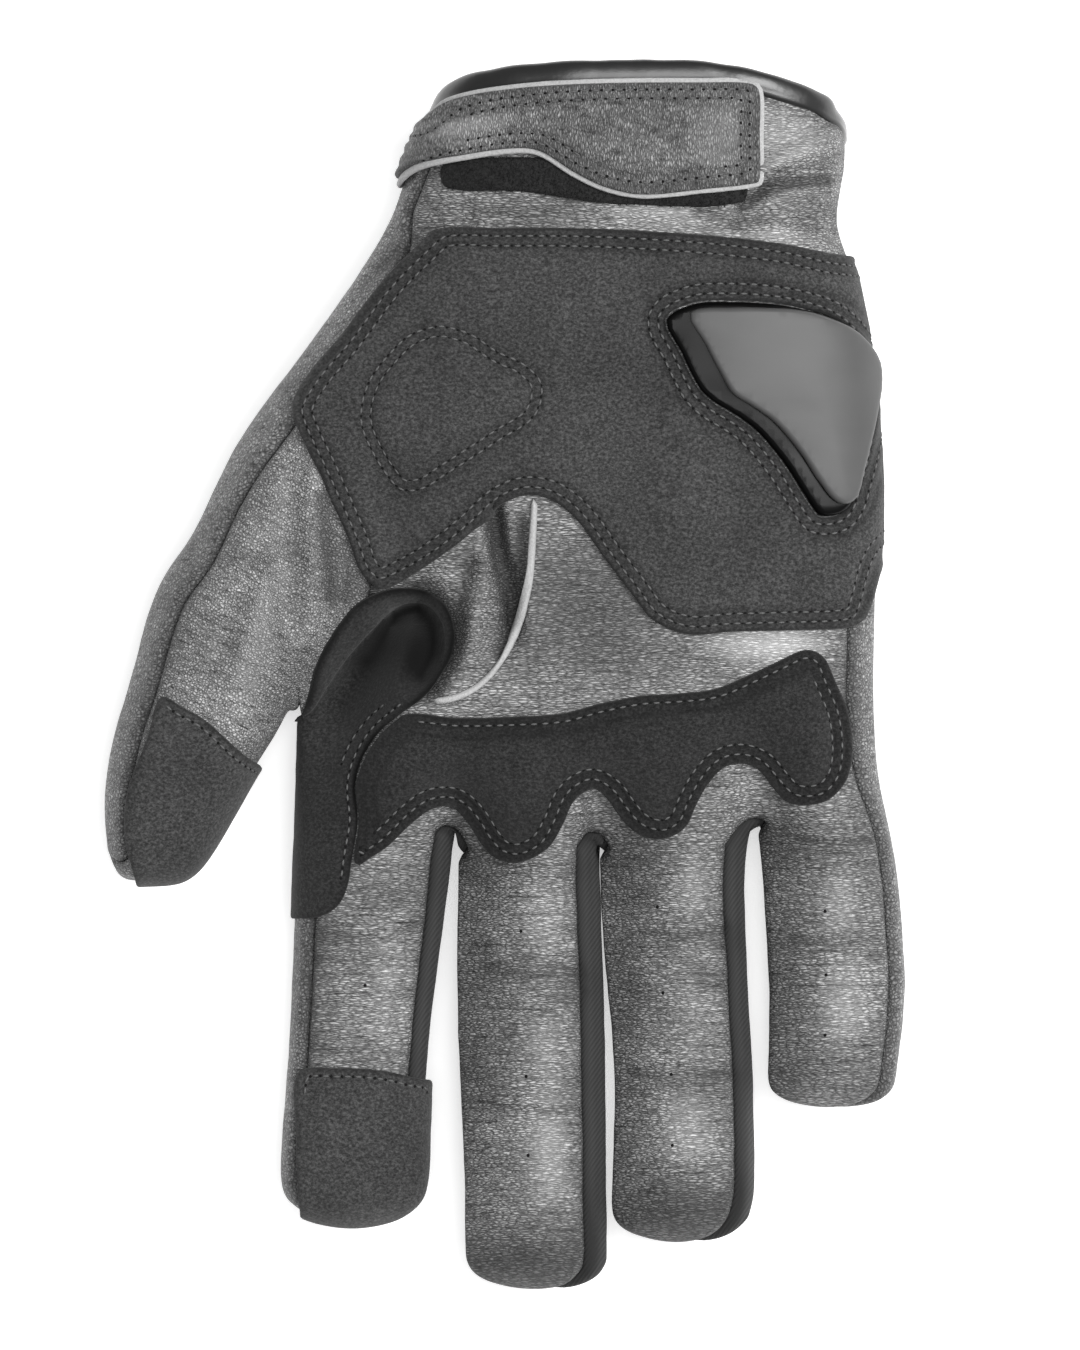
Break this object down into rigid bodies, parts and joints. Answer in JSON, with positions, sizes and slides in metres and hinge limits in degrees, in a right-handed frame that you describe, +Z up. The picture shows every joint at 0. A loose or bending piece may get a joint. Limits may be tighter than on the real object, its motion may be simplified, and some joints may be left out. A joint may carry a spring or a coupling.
{
  "type": "motorcycle glove",
  "caption": "Right-hand motorcycle glove in leather with suede palm, knuckle and tip overlays, a palm slider and a wrist strap, lying palm up.",
  "frame": {"origin": "middle of the glove's box, on the surface that its back lies on", "axes": "+Z up out of the palm, +Y from the fingertips to the cuff, -X to the thumb"},
  "size_m": [0.1556, 0.2398, 0.0438],
  "materials": {
    "leather": "distressed, fine grain",
    "back_leather": "distressed, fine grain",
    "textile": "matte woven",
    "suede": "matte suede",
    "dark_suede": "matte suede",
    "raw_edge": "raw cut edge",
    "gloss_plastic": "moulded, glossy",
    "slider_plastic": "moulded, satin",
    "hook_fabric": "hook and loop pile",
    "binding": "rolled, semi gloss"
  },
  "bodies": {
    "root": {"palm_panel": "leather", "thumb_panel": "leather", "back_panel": "back_leather", "gusset_index_middle": "textile", "gusset_middle_ring": "textile", "gusset_ring_little": "textile", "palm_overlay": "suede", "knuckle_overlay": "dark_suede", "crotch_overlay": "dark_suede", "index_tip_patch": "suede", "thumb_tip_patch": "suede", "seam_edge": "raw_edge", "slider_base": "gloss_plastic", "slider_plate": "slider_plastic", "hook_patch": "hook_fabric", "wrist_strap": "leather", "cuff_binding": "binding"}
  },
  "joints": []
}
